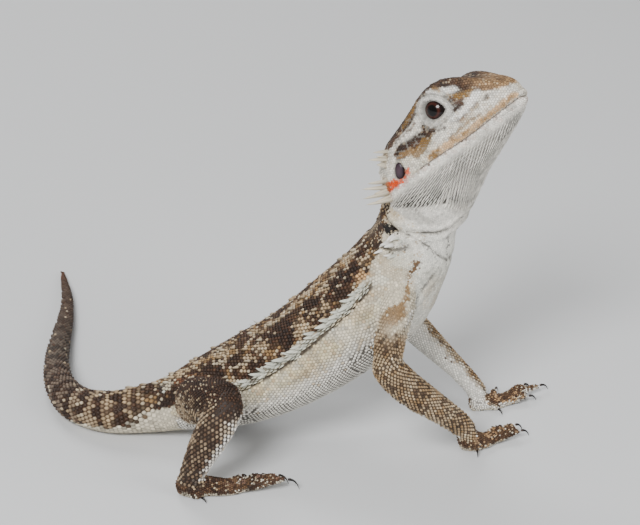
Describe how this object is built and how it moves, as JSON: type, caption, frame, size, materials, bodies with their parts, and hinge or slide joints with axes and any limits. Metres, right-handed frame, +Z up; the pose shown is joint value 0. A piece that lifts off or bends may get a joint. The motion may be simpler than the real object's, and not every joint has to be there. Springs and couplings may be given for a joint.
{
  "type": "bearded dragon",
  "caption": "Young bearded dragon, propped on straightened forelegs with its head raised and turned, tail swept round on the ground.",
  "frame": {"origin": "centre of the bounding box, on the ground", "axes": "+X towards the snout along the body, +Y towards the animal's left side, +Z up"},
  "size_m": [0.1122, 0.1052, 0.0795],
  "materials": {
    "hide": "dry scaly skin, mottled brown, tan and cream",
    "pale_hide": "dry scaly skin, cream to white",
    "eye": "wet, dark red-brown",
    "eardrum": "smooth thin skin, dark",
    "claw": "horn, dark, slightly polished"
  },
  "bodies": {
    "root": {"head": "hide", "lower_jaw": "pale_hide", "neck": "hide", "trunk": "hide", "tail_base": "hide", "tail_bend": "hide", "tail_outer": "hide", "tail_tip": "hide", "eye_left": "eye", "eye_right": "eye", "eardrum_left": "eardrum", "eardrum_right": "eardrum", "upper_arm_left": "hide", "upper_arm_right": "hide", "forearm_left": "hide", "forearm_right": "hide", "hand_left": "hide", "hand_right": "hide", "thigh_left": "hide", "thigh_right": "hide", "shin_left": "hide", "shin_right": "hide", "foot_left": "hide", "foot_right": "hide", "claw_hand_left_1": "claw", "claw_hand_left_2": "claw", "claw_hand_left_3": "claw", "claw_hand_left_4": "claw", "claw_hand_left_5": "claw", "claw_hand_right_1": "claw", "claw_hand_right_2": "claw", "claw_hand_right_3": "claw", "claw_hand_right_4": "claw", "claw_hand_right_5": "claw", "claw_foot_left_1": "claw", "claw_foot_left_2": "claw", "claw_foot_left_3": "claw", "claw_foot_left_4": "claw", "claw_foot_left_5": "claw", "claw_foot_right_1": "claw", "claw_foot_right_2": "claw", "claw_foot_right_3": "claw", "claw_foot_right_4": "claw", "claw_foot_right_5": "claw"}
  },
  "joints": []
}
